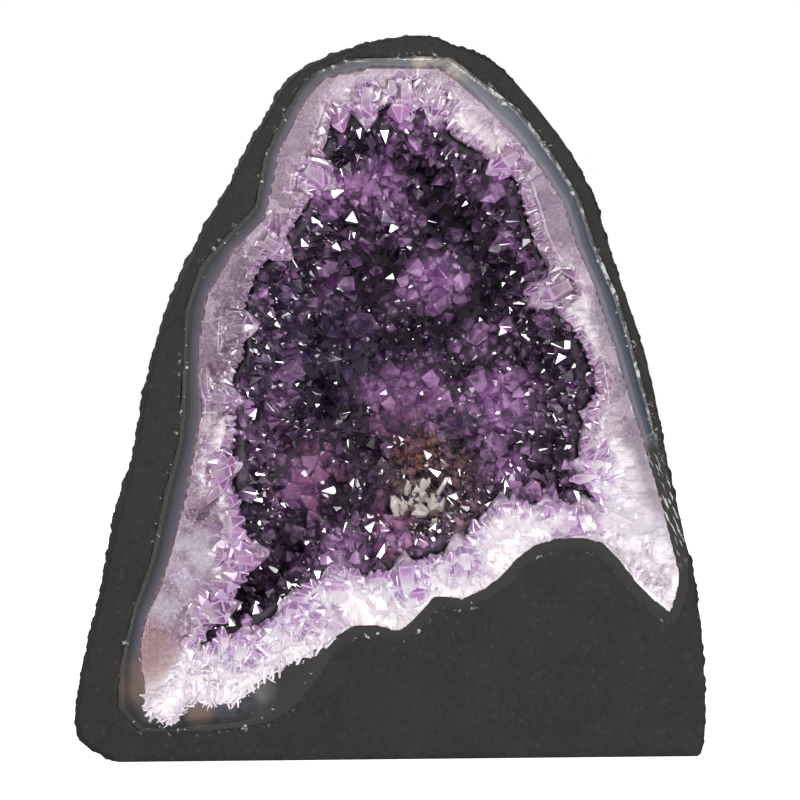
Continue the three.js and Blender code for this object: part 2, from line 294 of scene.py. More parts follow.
# ---------------------------------------------------------------------------------------------
# The cement body.
# Cement laid by hand over the back of the stone and painted matt black-brown. The face is ground
# smooth with the stone, the flanks and back are left lumpy, and the foot is cut flat.

SHELL_VOXEL = 2.4 * MM
KNOBBLY_DEPTH = 42 * MM
MIDDLE_HEIGHT = 0.15
OUTLINE_STEP = 1.5 * MM


def edited(piece, operation, **settings):
    """Runs one mesh operation on the whole of a piece."""
    only(piece)
    bpy.ops.object.mode_set(mode="EDIT")
    bpy.ops.mesh.select_all(action="SELECT")
    operation(**settings)
    bpy.ops.object.mode_set(mode="OBJECT")


def cut_at(piece, y, **kept):
    """Cuts a piece with an upright plane that faces the front, and closes the cut."""
    edited(piece, bpy.ops.mesh.bisect, plane_co=(0, y, 0), plane_no=(0, 1, 0), use_fill=True, **kept)


def copy_of(node, name):
    """A loose copy of a CAD node's mesh with its doubles merged, to be worked on as a new piece."""
    piece = bpy.data.objects.new(name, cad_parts[node].data.copy())
    scene.collection.objects.link(piece)
    edited(piece, bpy.ops.mesh.remove_doubles, threshold=0.00001)
    return piece


def worked(piece, kind, **settings):
    """Adds one modifier to a piece and applies it."""
    only(piece)
    modifier = piece.modifiers.new(kind.lower(), kind)
    for key, value in settings.items():
        setattr(modifier, key, value)
    bpy.ops.object.modifier_apply(modifier=modifier.name)


def points_of(piece):
    flat = np.empty(len(piece.data.vertices) * 3)
    piece.data.vertices.foreach_get("co", flat)
    return flat.reshape(-1, 3)


def normals_of(piece):
    flat = np.empty(len(piece.data.vertices) * 3)
    piece.data.vertex_normals.foreach_get("vector", flat)
    return flat.reshape(-1, 3)


def reshape(piece, points):
    piece.data.vertices.foreach_set("co", np.asarray(points, dtype=float).ravel())
    piece.data.update()


def smooth_step(values, low, high):
    t = np.clip((np.asarray(values) - low) / (high - low), 0, 1)
    return t * t * (3 - 2 * t)


def lumps(points, size, seed, octaves=3):
    """Cloudy noise from -1 to 1 at each point, with patches about `size` across."""
    shift = Vector((seed * 7.3, seed * 3.1, seed * 5.7))
    return np.array([noise.fractal(Vector(p) / size + shift, 0.9, 2.1, octaves) for p in points])


def pebbles(points, size, seed):
    """Rounded bumps, 0 between them and 1 on their tops, about `size` apart."""
    shift = Vector((seed * 2.9, seed * 6.1, seed * 4.3))
    return np.array([1 - min(1, noise.voronoi(Vector(p) / size + shift)[0][0] * 1.3) for p in points])


def face_loops(node):
    """The closed outlines of a CAD node's flat front face, widest first, as arrays of points."""
    piece = copy_of(node, "outline")
    mesh = piece.data
    off_face = np.abs(points_of(piece)[:, 1] - face_y)
    flat = [p for p in mesh.polygons if all(off_face[v] < 0.02 * MM for v in p.vertices)]
    count = {}
    for polygon in flat:
        for key in polygon.edge_keys:
            count[key] = count.get(key, 0) + 1
    after = {}
    for a, b in (key for key, uses in count.items() if uses == 1):
        after.setdefault(a, []).append(b)
        after.setdefault(b, []).append(a)
    loops = []
    while after:
        start = next(iter(after))
        loop = [start]
        while after.get(loop[-1]):
            here = loop[-1]
            there = after[here].pop()
            after[there].remove(here)
            if there == start:
                break
            loop.append(there)
        after = {key: left for key, left in after.items() if left}
        loops.append(np.array([mesh.vertices[v].co for v in loop]))
    bpy.data.objects.remove(piece)
    return sorted(loops, key=lambda points: -np.prod(np.ptp(points[:, [0, 2]], axis=0)))


def spaced(loop, gap):
    """Points at an even spacing round a closed outline, and how far round each one is."""
    closed = np.vstack([loop, loop[:1]])
    lengths = np.linalg.norm(np.diff(closed, axis=0), axis=1)
    reach = np.concatenate([[0], np.cumsum(lengths)])
    count = int(reach[-1] / gap)
    round_it = np.linspace(0, reach[-1], count, endpoint=False)
    return np.column_stack([np.interp(round_it, reach, closed[:, k]) for k in range(3)]), round_it


def flat_tree(targets):
    """A search tree of places, all moved into one upright plane."""
    tree = kdtree.KDTree(len(targets))
    for i, target in enumerate(targets):
        tree.insert((target[0], 0, target[2]), i)
    tree.balance()
    return tree


def nearest(points, targets):
    """For each point, the index of the nearest target and its distance as seen from the front."""
    tree = flat_tree(targets)
    found = [tree.find((p[0], 0, p[2])) for p in points]
    return np.array([f[1] for f in found]), np.array([f[2] for f in found])


def mark(piece, name, values, domain="POINT"):
    """Keeps one number for each point or face of a piece, for its material to read."""
    made = piece.data.attributes.new(name, "FLOAT", domain)
    made.data.foreach_set("value", np.asarray(values, dtype=np.float32))


def above_low_line(points):
    """How far each point stands above the slanting line of the lower right."""
    return points[..., 2] - LOW_SLOPE * points[..., 0]


shell = copy_of("cement_shell", "cement_body")
worked(shell, "REMESH", mode="VOXEL", voxel_size=SHELL_VOXEL)
bpy.ops.object.mode_set(mode="EDIT")
bpy.ops.mesh.select_mode(type="FACE")
bpy.ops.mesh.select_all(action="DESELECT")
bpy.ops.object.mode_set(mode="OBJECT")
for polygon in shell.data.polygons:
    middle = polygon.center
    side_on = polygon.normal.x * middle.x + polygon.normal.z * (middle.z - MIDDLE_HEIGHT) > 0.02
    polygon.select = side_on and middle.y < face_y + KNOBBLY_DEPTH and middle.z > 4 * MM
bpy.ops.object.mode_set(mode="EDIT")
bpy.ops.mesh.subdivide(number_cuts=1)
bpy.ops.object.mode_set(mode="OBJECT")
points = points_of(shell)
normals = normals_of(shell)
on_face = (np.abs(points[:, 1] - face_y) < 1.5 * MM) & (normals[:, 1] < -0.6)
on_foot = (points[:, 2] < 1.2 * MM) & (normals[:, 2] < -0.5)
behind = points[:, 1] - face_y
facing_out = points[:, 0] * normals[:, 0] + (points[:, 2] - MIDDLE_HEIGHT) * normals[:, 2]
outwards = facing_out + behind * normals[:, 1] * 0.6 > 0
rough = smooth_step(behind, 1.5 * MM, 9 * MM) * smooth_step(points[:, 2], 0.0, 4 * MM) * outwards
relief = 1.2 * lumps(points, 30 * MM, 1) + 1.1 * (pebbles(points, 8 * MM, 2) - 0.35)
fine = 1.5 * (pebbles(points, 4.2 * MM, 3) - 0.4) + 0.3 * lumps(points, 3 * MM, 3)
relief = relief + fine * smooth_step(-behind, -KNOBBLY_DEPTH, 16 * MM - KNOBBLY_DEPTH)
relief = relief + 1.3 * lumps(points, 17 * MM, 9) * smooth_step(behind, 30 * MM, 60 * MM)
points = points + normals * (rough * relief * MM)[:, None]
faint = 0.12 * lumps(points, 16 * MM, 4) * MM
points[on_face, 1] = face_y + faint[on_face] + 0.1 * MM
points[on_foot, 2] = 0.0
reshape(shell, points)
only(shell)
bpy.ops.object.shade_smooth()

agate_loops = face_loops("agate_band")
agate_edge, _ = spaced(agate_loops[0], OUTLINE_STEP)
_, to_stone = nearest(points, agate_edge)
mark(shell, "to_stone", np.where(behind < 3 * MM, to_stone, 1.0))

paint = Paint("painted_cement", Roughness=0.85, Specular_IOR_Level=0.25)
grain = paint.noise(0.6 * MM, 4, 0.7)
blotch = paint.noise(22 * MM, 4, 0.6)
dust = paint.step(paint.noise(1.6 * MM, 2, 0.6), 0.72, 0.78)
mottle = paint.noise(2.4 * MM, 3, 0.7)
beside_stone = paint.step(paint.attribute("to_stone"), 1.2 * MM, 3.0 * MM, 1.0, 0.0)
chip = paint.step(paint.noise(2.6 * MM, 3, 0.7), 0.60, 0.64) * beside_stone * paint.step(
    paint.noise(17 * MM, 2), 0.42, 0.54)
dark = paint.layers(
    (0.0180, 0.0162, 0.0150),
    (paint.step(blotch, 0.35, 0.65), (0.0230, 0.0206, 0.0190)),
    (paint.step(grain, 0.55, 0.75) * 0.5, (0.042, 0.039, 0.037)),
    (paint.step(grain, 0.3, 0.45, 0.6, 0.0), (0.010, 0.009, 0.0085)),
    (paint.step(mottle, 0.55, 0.72) * 0.7, (0.040, 0.037, 0.035)),
    (paint.step(mottle, 0.3, 0.45, 0.75, 0.0), (0.011, 0.010, 0.0095)),
    (dust * 0.25, (0.10, 0.095, 0.09)),
    (chip * 0.85, (0.42, 0.42, 0.40)),
)
clad(shell, paint.finish(
    Base_Color=dark,
    Roughness=paint.step(grain, 0.3, 0.7, 0.72, 0.95) - chip * 0.5,
    Normal=paint.bump(grain + blotch * 0.5, 0.35, 0.5 * MM),
))
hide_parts("cement_shell")
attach(shell, "root")

# ---------------------------------------------------------------------------------------------
# The agate rind.
# A thin natural band of agate, ground and polished with the face. It is smoky brown on the left,
# slate-blue behind a white outer line on the right, and painted over along the lower right.

AGATE_DEPTH = 30 * MM
AGATE_VOXEL = 1.1 * MM
AGATE_LIP = 0.12 * MM
PAINT_SPREAD = 1.6 * MM
PAINT_THICKNESS = 0.22 * MM

quartz_edge, quartz_round = spaced(agate_loops[1], OUTLINE_STEP)
agate = copy_of("agate_band", "agate_rind")
cut_at(agate, face_y + AGATE_DEPTH, clear_outer=True)
worked(agate, "REMESH", mode="VOXEL", voxel_size=AGATE_VOXEL)
points = points_of(agate)
normals = normals_of(agate)
front = (points[:, 1] < face_y + 1.0 * MM) & (normals[:, 1] < -0.35)
_, to_cement = nearest(points, agate_edge)
_, to_quartz = nearest(points, quartz_edge)
across = to_cement / np.maximum(to_cement + to_quartz, 0.1 * MM)
points[front, 1] = face_y + AGATE_LIP
side_on = np.abs(normals[:, 1]) < 0.75
points[side_on] += normals[side_on] * 0.9 * MM
points[side_on, 1] = np.maximum(points[side_on, 1], face_y + AGATE_LIP)
daubed = (above_low_line(points) < 86 * MM) & (points[:, 0] > -46 * MM)
spread = daubed & (across < 0.5) & (points[:, 1] - face_y < 3 * MM)
points[spread] += normals[spread] * (1, 0, 1) * PAINT_SPREAD
points[daubed & front, 1] -= PAINT_THICKNESS
reshape(agate, points)
mark(agate, "across", across)
only(agate)
bpy.ops.object.shade_smooth_by_angle(angle=math.radians(40))

paint = Paint("banded_agate", Specular_IOR_Level=0.35, Coat_Roughness=0.08)
sideways = paint.axis("X")
upward = paint.axis("Z")
wander = paint.noise(14 * MM, 3)
chalky = paint.noise(5 * MM, 3, 0.65)
depth = paint.attribute("across") + (wander - 0.5) * 0.25
lines = paint.noise(0.06, 3, 0.6, place=paint.vector(X=depth, Y=wander * 0.03))
smoky = paint.ramp(depth, [
    (0.0, (0.030, 0.028, 0.026)), (0.28, (0.040, 0.038, 0.038)), (0.55, (0.056, 0.054, 0.068)),
    (0.8, (0.074, 0.071, 0.094)), (0.93, (0.13, 0.095, 0.115)), (1.0, (0.26, 0.18, 0.21)),
])
slate = paint.ramp(depth, [
    (0.0, (0.40, 0.40, 0.40)), (0.09, (0.62, 0.62, 0.63)), (0.19, (0.020, 0.024, 0.036)),
    (0.45, (0.046, 0.056, 0.086)), (0.68, (0.075, 0.080, 0.105)), (0.84, (0.17, 0.155, 0.185)),
    (1.0, (0.13, 0.105, 0.14)),
])
bare = paint.step(chalky, 0.36, 0.5) * paint.step(depth, 0.1, 0.22, 1.0, 0.0)
slate = paint.mix(bare, slate, (0.045, 0.045, 0.05))
right_side = paint.step(sideways, 18 * MM, 40 * MM) * paint.step(upward, 105 * MM, 125 * MM)
low_left = paint.near(-66, 20, 46) * paint.step(paint.noise(9 * MM, 3, 0.6), 0.4, 0.6)
corner = paint.near(-108, 14, 44) * paint.step(depth, 0.25, 0.7, 1.0, 0.25)
windows = paint.patches((-80, 20, 8, 1), (-107, 33, 14, 0.7), (-31, 42, 7, 1))
windows = windows * paint.step(wander, 0.3, 0.55, 0.4, 1.0)
painted_over = paint.step(paint.above_low_line(), 78 * MM, 88 * MM, 1.0, 0.0) * paint.step(
    sideways, -66 * MM, -46 * MM)
dark_top = paint.near(-10, 290, 44) * paint.step(depth, 0.55, 0.85, 1.0, 0.0)
dark_side = paint.step(sideways, -20 * MM, -34 * MM) * paint.step(depth, 0.3, 0.6, 1.0, 0.0)
top_patch = paint.near(18, 286, 16) * paint.step(chalky, 0.35, 0.6)
flecks = paint.step(paint.noise(2.6 * MM, 2, 0.6), 0.67, 0.71) * paint.step(depth, 0.2, 0.5, 1.0, 0.0)
slanting = paint.vector(X=(sideways + upward * 0.5) * 900, Y=(upward - sideways * 0.5) * 130)
scratches = paint.step(paint.noise(1.0, 2, 0.5, place=slanting), 0.56, 0.62)
scratches = scratches * paint.near(110, 104, 30) * paint.step(sideways, 96 * MM, 100 * MM)
stone = paint.layers(
    smoky,
    (right_side, slate),
    (paint.step(lines, 0.5, 0.62) * 0.25, (0.13, 0.13, 0.16)),
    (low_left * 0.8, (0.026, 0.027, 0.025)),
    (corner * 0.85, (0.028, 0.025, 0.023)),
    (windows.capped() * 0.8, (0.20, 0.13, 0.10)),
    (paint.near(-52, 29, 7) * wander, (0.40, 0.40, 0.36)),
    (painted_over * 0.95, (0.0195, 0.0175, 0.0162)),
    (dark_top * 0.9, (0.018, 0.021, 0.023)),
    (dark_side * 0.55, (0.026, 0.027, 0.029)),
    (top_patch * 0.8, (0.36, 0.28, 0.22)),
    (flecks * 0.8, (0.55, 0.56, 0.54)),
    (scratches * 0.8, (0.60, 0.60, 0.60)),
)
polished = paint.step(paint.attribute("across"), 0.08, 0.22) * (1 - painted_over)
clad(agate, paint.finish(
    Base_Color=stone,
    Roughness=paint.step(polished, 0.0, 1.0, 0.8, 0.22),
    Coat_Weight=polished * 0.4,
))
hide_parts("agate_band")
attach(agate, "root")

# ---------------------------------------------------------------------------------------------
# The quartz crust.
# Milky quartz that grew from the agate towards the hollow in packed columns. The sawn face is
# polished; towards the hollow and along the lower edge the column ends stand free and rough.

CRUST_SLAB = 24 * MM
CRUST_VOXEL = 1.25 * MM
PLUG_SCALE = 1.1
HOLLOW_CENTRE = np.array([2 * MM, 0, 160 * MM])

cavity_loop = face_loops("quartz_crust")[1]
cavity_edge, _ = spaced(cavity_loop, OUTLINE_STEP)
_, band_width = nearest(cavity_edge, quartz_edge)


def across_crust(points):
    """0 at the agate, 1 at the edge of the hollow, more beyond it."""
    _, to_agate = nearest(points, quartz_edge)
    beside, _ = nearest(points, cavity_edge)
    return to_agate / np.maximum(band_width[beside], 6 * MM)


def mark_hollow(piece):
    """Keeps how far each point is outside the hollow, for the purple of the tips."""
    points = points_of(piece)
    beside, apart = nearest(points, cavity_edge)
    from_centre = np.linalg.norm((points - HOLLOW_CENTRE)[:, [0, 2]], axis=1)
    edge_from_centre = np.linalg.norm((cavity_edge[beside] - HOLLOW_CENTRE)[:, [0, 2]], axis=1)
    mark(piece, "to_hollow", np.where(from_centre < edge_from_centre, 0, apart))


crust = copy_of("quartz_crust", "quartz_front")
rim_names = sorted(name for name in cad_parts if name.startswith("rim_crystal"))
for name in rim_names:
    plug = copy_of(name, "plug")
    middle = points_of(plug).mean(0)
    reshape(plug, middle + (points_of(plug) - middle) * PLUG_SCALE)
    plug.select_set(True)
    crust.select_set(True)
    bpy.context.view_layer.objects.active = crust
    bpy.ops.object.join()
cut_at(crust, face_y + CRUST_SLAB, clear_outer=True)
worked(crust, "REMESH", mode="VOXEL", voxel_size=CRUST_VOXEL)

points = points_of(crust)
normals = normals_of(crust)
nearest_edge, _ = nearest(points, quartz_edge)
across = across_crust(points)
front = (points[:, 1] < face_y + 1.4 * MM) & (normals[:, 1] < -0.4)
low = 1 - smooth_step(above_low_line(points), 70 * MM, 84 * MM)
free = np.clip(smooth_step(across, 0.62, 1.05) + low * smooth_step(across, 0.1, 0.9), 0, 1)
relief = 1.1 * pebbles(points, 7 * MM, 5) + 0.8 * lumps(points, 5 * MM, 6)
relief = relief + 0.35 * lumps(points, 2.6 * MM, 7)
set_back = face_y + (0.1 + free * np.maximum(3.6 - 1.4 * relief, 0.2)) * MM
points[front, 1] = set_back[front]
points[:, 1] = np.maximum(points[:, 1], set_back)
inner = ~front & (across > 0.5) & (np.abs(normals[:, 1]) < 0.9)
points[inner] += normals[inner] * (0.9 * lumps(points[inner], 6 * MM, 8) * MM)[:, None]
reshape(crust, points)
mark(crust, "across", across)
mark_hollow(crust)
mark(crust, "along", quartz_round[nearest_edge])
only(crust)
bpy.ops.object.shade_smooth_by_angle(angle=math.radians(32))

paint = Paint(
    "pale_quartz", Roughness=0.24, Subsurface_Weight=0.2, Subsurface_Scale=1.5 * MM, Coat_Weight=0.35,
    Coat_Roughness=0.1)
paint.shader.inputs["Subsurface Radius"].default_value = (1.0, 0.7, 1.0)
across_it = paint.attribute("across")
along_it = paint.attribute("along")
upward = paint.axis("Z")
cloud = paint.noise(16 * MM, 4, 0.55)
grains = paint.noise(1.4 * MM, 3, 0.75)
waver = paint.noise(5 * MM, 3, 0.6)
flow = paint.vector(X=along_it * 150 + waver * 1.2, Y=across_it * 1.3 + waver * 0.8)
strands = paint.vector(X=along_it * 620 + waver * 1.2, Y=across_it * 1.4)
fibres = paint.noise(1.0, 4, 0.7, place=strands)
column_colour = paint.cells(flow, "F1", "Color")
column_tone = paint.node("ShaderNodeSeparateXYZ", None, {"Vector": column_colour}, out="X")
column_edge = paint.cells(flow, "DISTANCE_TO_EDGE", "Distance")
white_part = paint.step(paint.above_low_line(), 72 * MM, 92 * MM, 1.0, 0.0)
white = paint.mix(paint.step(fibres, 0.34, 0.56), (0.52, 0.41, 0.47), (0.96, 0.88, 0.91))
bright = paint.patches(
    (-74, 126, 24, 1), (32, 262, 38, 1), (80, 186, 30, 1), (92, 116, 38, 1), (-8, 268, 26, 0.6))
bright = bright * paint.step(across_it + waver * 0.5, 0.5, 1.0)
smoke_left = paint.near(-72, 182, 60) * paint.step(grains + cloud * 0.5, 0.7, 1.0, 1.0, 0.45)
smoke_left = smoke_left * paint.step(upward, 141 * MM, 144 * MM)
smoke_right = paint.near(58, 226, 46) * paint.step(across_it + waver * 0.4, 0.65, 1.2, 1.0, 0.2)
smoke_right = smoke_right * paint.step(upward, 213.6 * MM, 214.4 * MM, 0.2, 1.0)
smoke_top = paint.near(-12, 284, 40) * paint.step(across_it + waver * 0.3, 0.35, 0.6, 1.0, 0.0)
smoke_corner = paint.near(-48, 246, 34) * paint.step(across_it, 0.6, 1.0, 0.7, 0.2)
smoke_edge = paint.near(92, 140, 80) * paint.step(across_it + waver * 0.3, 0.3, 0.7, 1.0, 0.0)
tip_depth = paint.attribute("to_hollow") + (waver - 0.5) * 4 * MM + (column_tone - 0.5) * 4 * MM
tip = paint.step(tip_depth, 0.5 * MM, 5 * MM, 1.0, 0.0)
purple_tip = tip * paint.step(cloud + grains * 0.3, 0.45, 0.85, 0.85, 0.45)
pale_edge = paint.step(column_edge, 0.02, 0.10, 1.0, 0.0) * paint.step(
    tip_depth, 2 * MM, 8 * MM, 1.0, 0.0)
milk = paint.patches((-86, 88, 22, 1), (-92, 66, 14, 1), (100, 96, 20, 1)) * paint.step(cloud, 0.35, 0.6)
to_left_crack = upward - paint.axis("X") * 0.1 + waver * 2 * MM - 152.5 * MM
left_crack = paint.step(to_left_crack.size(), 0.1 * MM, 0.4 * MM, 1.0, 0.0) * paint.near(-80, 145, 16)
to_top_crack = paint.axis("X") - 11 * MM + waver * 2 * MM
top_crack = paint.step(to_top_crack.size(), 0.2 * MM, 0.6 * MM, 1.0, 0.0) * paint.near(11, 278, 14)
outer_line = paint.step(across_it, 0.03, 0.12, 1.0, 0.0)
lilac = paint.layers(
    (0.145, 0.075, 0.13),
    (paint.step(cloud, 0.35, 0.65), (0.30, 0.19, 0.265)),
    (paint.step(grains, 0.53, 0.64) * 0.65, (0.60, 0.45, 0.58)),
    (paint.step(grains, 0.34, 0.46, 0.8, 0.0), (0.10, 0.045, 0.11)),
    (paint.step(fibres, 0.45, 0.7) * 0.35, (0.56, 0.46, 0.54)),
)
body = paint.layers(
    lilac,
    (white_part, white),
    (bright.capped() * 0.75, white),
    (smoke_left * 0.9, (0.125, 0.068, 0.112)),
    (smoke_right * 0.85, (0.16, 0.10, 0.175)),
    (smoke_top * 0.85, (0.21, 0.15, 0.15)),
    (smoke_corner, (0.19, 0.12, 0.175)),
    (smoke_edge * 0.85, (0.17, 0.15, 0.19)),
    (paint.step(column_tone, 0.5, 1.0) * 0.35, (0.62, 0.50, 0.62)),
    (paint.step(column_tone, 0.0, 0.4, 1.0, 0.0) * 0.4, (0.30, 0.20, 0.27)),
    (purple_tip, (0.24, 0.11, 0.26)),
    (pale_edge * 0.5, (0.74, 0.63, 0.75)),
    (milk * 0.6, (0.52, 0.49, 0.57)),
    (paint.near(-104, 44, 22) * 0.7, (0.30, 0.17, 0.15)),
    (left_crack * 0.7, (0.65, 0.60, 0.62)),
    (top_crack * 0.7, (0.80, 0.76, 0.74)),
    (outer_line * 0.5, (0.34, 0.24, 0.27)),
)
quartz_material = paint.finish(
    Base_Color=body,
    Roughness=paint.step(grains, 0.3, 0.7, 0.15, 0.4),
    Normal=paint.bump(column_tone * 0.5 + fibres * 0.5 + grains * 0.3, 0.45, 0.7 * MM),
)
clad(crust, quartz_material)
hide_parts("quartz_crust")
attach(crust, "root")

crust_back = copy_of("quartz_crust", "quartz_body")
cut_at(crust_back, face_y + CRUST_SLAB + 0.2 * MM, clear_inner=True)
clad(crust_back, quartz_material)
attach(crust_back, "root")

# ---------------------------------------------------------------------------------------------
# The column ends of the crust.
# Six-sided quartz points that stand side by side along the edge of the hollow, milky where they
# grow out of the crust and purple at the tip. The saw has cut the ones in front off flush.

ROOT, SHOULDER, TIP = 0.0, 1.0, 2.0
SIDES = 6
# The worn crystals' thin bevel faces along their edges get a tone above 1. The quartz material turns that
# tone into a pale painted highlight along each edge.
HIGHLIT_EDGE_FACE = 0.25
EDGE_HIGHLIGHT_TONE = 1.6
SHOULDER_DROP = 1.15


def crystal_form(name, shift, ridge, uneven, edge=0.0):
    """A six-sided crystal, root at height 0, shoulder at 1 and tip at 2, on a circle of radius 1."""
    bpy.ops.mesh.primitive_cylinder_add(vertices=SIDES, radius=1, depth=1, location=(0, 0, 0))
    form = bpy.context.object
    form.name = name
    bpy.ops.object.mode_set(mode="EDIT")
    bpy.ops.mesh.select_all(action="SELECT")
    bpy.ops.transform.translate(value=(0, 0, 0.5))
    bpy.ops.mesh.select_mode(type="FACE")
    bpy.ops.mesh.select_all(action="DESELECT")
    bpy.ops.object.mode_set(mode="OBJECT")
    for polygon in form.data.polygons:
        polygon.select = polygon.normal.z > 0.9
    bpy.ops.object.mode_set(mode="EDIT")
    bpy.ops.mesh.extrude_region_move(TRANSFORM_OT_translate={"value": (shift, 0, 1)})
    if ridge > 0:
        bpy.ops.transform.resize(value=(ridge, 0.06, 1), center_override=(shift, 0, TIP))
    else:
        bpy.ops.mesh.merge(type="CENTER")
    bpy.ops.object.mode_set(mode="OBJECT")
    points = points_of(form)
    ring = np.abs(points[:, 2] - SHOULDER) < 0.1
    angle = np.arctan2(points[:, 1], points[:, 0])
    points[ring, 2] += uneven * np.sign(np.cos(3 * angle[ring]))
    reshape(form, points)
    if edge > 0:
        edited(form, bpy.ops.mesh.bevel, offset=edge, segments=1, affect="EDGES")
    faces = [tuple(p.vertices) for p in form.data.polygons]
    highlit_edge = np.array([edge > 0 and p.area < HIGHLIT_EDGE_FACE for p in form.data.polygons])
    kept = (points_of(form), faces, highlit_edge)
    bpy.data.objects.remove(form)
    return kept


sharp_forms = [
    crystal_form("pointed", 0.06, 0.06, 0.22),
    crystal_form("leaning", 0.22, 0.06, 0.3),
    crystal_form("chisel", 0.08, 0.3, 0.18),
    crystal_form("blunt", -0.1, 0.14, 0.36),
]
worn_forms = [
    crystal_form("worn", 0.08, 0, 0.16, 0.09),
    crystal_form("worn_leaning", 0.3, 0, 0.24, 0.08),
    crystal_form("worn_low", -0.16, 0, 0.3, 0.09),
]


def unit(direction):
    return direction / np.linalg.norm(direction)


def plant(name, spots, random, forms, tone_spread=0.35, sawn_at=None, root_width=0.8, cuts=0):
    """One piece of many crystals. A spot is (place, direction, radius, length, root depth, tone)."""
    all_points, all_faces, rise, tones = [], [], [], []
    offset = 0
    for place, direction, radius, length, root, tone in spots:
        points, faces, highlit_edge = forms[random.integers(len(forms))]
        axis = unit(direction)
        side = unit(np.cross(axis, (0.3, 0.2, 1.0) if abs(axis[2]) < 0.9 else (1.0, 0, 0)))
        other = np.cross(axis, side)
        turn = random.uniform(0, 2 * math.pi)
        across_axis = points[:, 0] * math.cos(turn) - points[:, 1] * math.sin(turn)
        up_axis = points[:, 0] * math.sin(turn) + points[:, 1] * math.cos(turn)
        wide = radius * random.uniform(0.85, 1.15)
        deep = radius * random.uniform(0.85, 1.15)
        shoulder = max(length - SHOULDER_DROP * radius, 0)
        heights = np.interp(points[:, 2], (ROOT, SHOULDER, TIP), (-root, shoulder, length))
        taper = np.interp(points[:, 2], (ROOT, SHOULDER, TIP), (root_width, 1.0, 1.0))
        sideways = np.outer(across_axis * wide * taper, side)
        stood = place + sideways + np.outer(up_axis * deep * taper, other) + np.outer(heights, axis)
        if sawn_at is not None:
            stood[:, 1] = np.maximum(stood[:, 1], sawn_at + random.uniform(0, 0.5) * MM)
        all_points.append(stood)
        all_faces += [tuple(v + offset for v in face) for face in faces]
        rise.append(points[:, 2] / TIP)
        face_tones = np.clip(tone + random.uniform(-tone_spread, tone_spread, len(faces)), 0, 1)
        # The bevel faces take the edge tone, which paints a highlight along the edges.
        tones.append(np.where(highlit_edge, EDGE_HIGHLIGHT_TONE, face_tones))
        offset += len(points)
    points = np.vstack(all_points)
    mesh = bpy.data.meshes.new(name)
    mesh.from_pydata(points.tolist(), [], all_faces)
    piece = bpy.data.objects.new(name, mesh)
    scene.collection.objects.link(piece)
    mark(piece, "rise", np.concatenate(rise))
    corners = [len(heights) for heights in rise]
    own = np.random.default_rng(len(spots)).uniform(0, 1, len(spots))
    mark(piece, "half_width", np.repeat([spot[2] for spot in spots], corners))
    mark(piece, "own", np.repeat(own, corners))
    mark(piece, "tone", np.concatenate(tones), "FACE")
    if cuts > 0:
        edited(piece, bpy.ops.mesh.subdivide, number_cuts=cuts)
    mark_hollow(piece)
    return piece


SAWN_AT = face_y + 0.3 * MM
LEFT_OUT = 0.12
LAYERS = 5
LAYER_STEP = 3.6 * MM
random = np.random.default_rng(11)
edge, _ = spaced(cavity_loop, 3.0 * MM)
blurred = sum(np.roll(edge, k, 0) for k in range(-4, 5)) / 9
tangent = np.roll(blurred, -2, 0) - np.roll(blurred, 2, 0)
inward = np.column_stack([tangent[:, 2], np.zeros(len(edge)), -tangent[:, 0]])
inward /= np.linalg.norm(inward, axis=1)[:, None]
if (np.einsum("ij,ij->i", inward, HOLLOW_CENTRE - blurred) < 0).mean() > 0.5:
    inward = -inward
_, edge_width = nearest(edge, quartz_edge)
column_spots = []
for layer in range(LAYERS):
    for i in range(len(edge)):
        if random.uniform() < LEFT_OUT:
            continue
        low = 1 - float(smooth_step(above_low_line(edge[i]), 78 * MM, 104 * MM))
        left = float(smooth_step(-edge[i][0], 40 * MM, 62 * MM))
        left *= float(smooth_step(-edge[i][2], -150 * MM, -105 * MM))
        radius = random.uniform(1.5, 3.0) * (1 + 0.6 * max(low, left)) * MM
        length = radius * random.uniform(2.2, 3.4)
        direction = inward[i] + random.normal(0, 0.18, 3)
        direction[1] = -0.2 + 0.08 * layer + random.uniform(-0.1, 0.1)
        direction = unit(direction)
        reach = random.uniform(-0.1, 1.0) * radius
        place = edge[i] + direction * (reach - length)
        place[1] = face_y + radius * random.uniform(0.3, 0.9) + 0.2 * length + layer * LAYER_STEP
        column_spots.append((place, direction, radius, length, 2 * MM, random.uniform(0.1, 0.9)))
for i in range(len(edge)):
    if above_low_line(edge[i]) > 96 * MM:
        continue
    for _ in range(2):
        radius = random.uniform(2.2, 4.4) * MM
        direction = inward[i] + random.normal(0, 0.2, 3)
        direction[1] = random.uniform(-0.3, 0.0)
        direction = unit(direction)
        length = min(random.uniform(7, 15) * MM, 0.85 * edge_width[i])
        place = edge[i] + direction * (random.uniform(-4, 1.5) * MM - length)
        place[1] = face_y + radius * random.uniform(0.6, 1.1) + 0.12 * length + random.uniform(0, 1) * MM
        column_spots.append((place, direction, radius, length, 1 * MM, random.uniform(0.1, 0.9)))
column_ends = plant(
    "quartz_column_ends", column_spots, random, worn_forms, sawn_at=SAWN_AT, root_width=0.4)

paint = Paint(
    "lavender_quartz", Roughness=0.12, Subsurface_Weight=0.2, Subsurface_Scale=1.5 * MM, Coat_Weight=0.6,
    Coat_Roughness=0.04)
tone = paint.attribute("tone")
veil = paint.noise(2.5 * MM, 3, 0.65)
grains = paint.noise(0.9 * MM, 3, 0.7)
white_part = paint.step(paint.above_low_line(), 76 * MM, 100 * MM, 1.0, 0.0)
pale = paint.mix(veil, (0.22, 0.135, 0.20), (0.56, 0.44, 0.52))
white = paint.mix(veil, (0.52, 0.41, 0.48), (0.94, 0.87, 0.91))
purple = paint.mix(tone.capped(), (0.12, 0.035, 0.14), (0.42, 0.20, 0.44))
purple = paint.mix(white_part * 0.5, purple, (0.46, 0.27, 0.52))
tip_depth = paint.attribute("to_hollow") + (tone - 0.5) * 2 * MM + (veil - 0.5) * 7 * MM
tip_depth = tip_depth - (paint.attribute("half_width") - 2.5 * MM) * 0.9
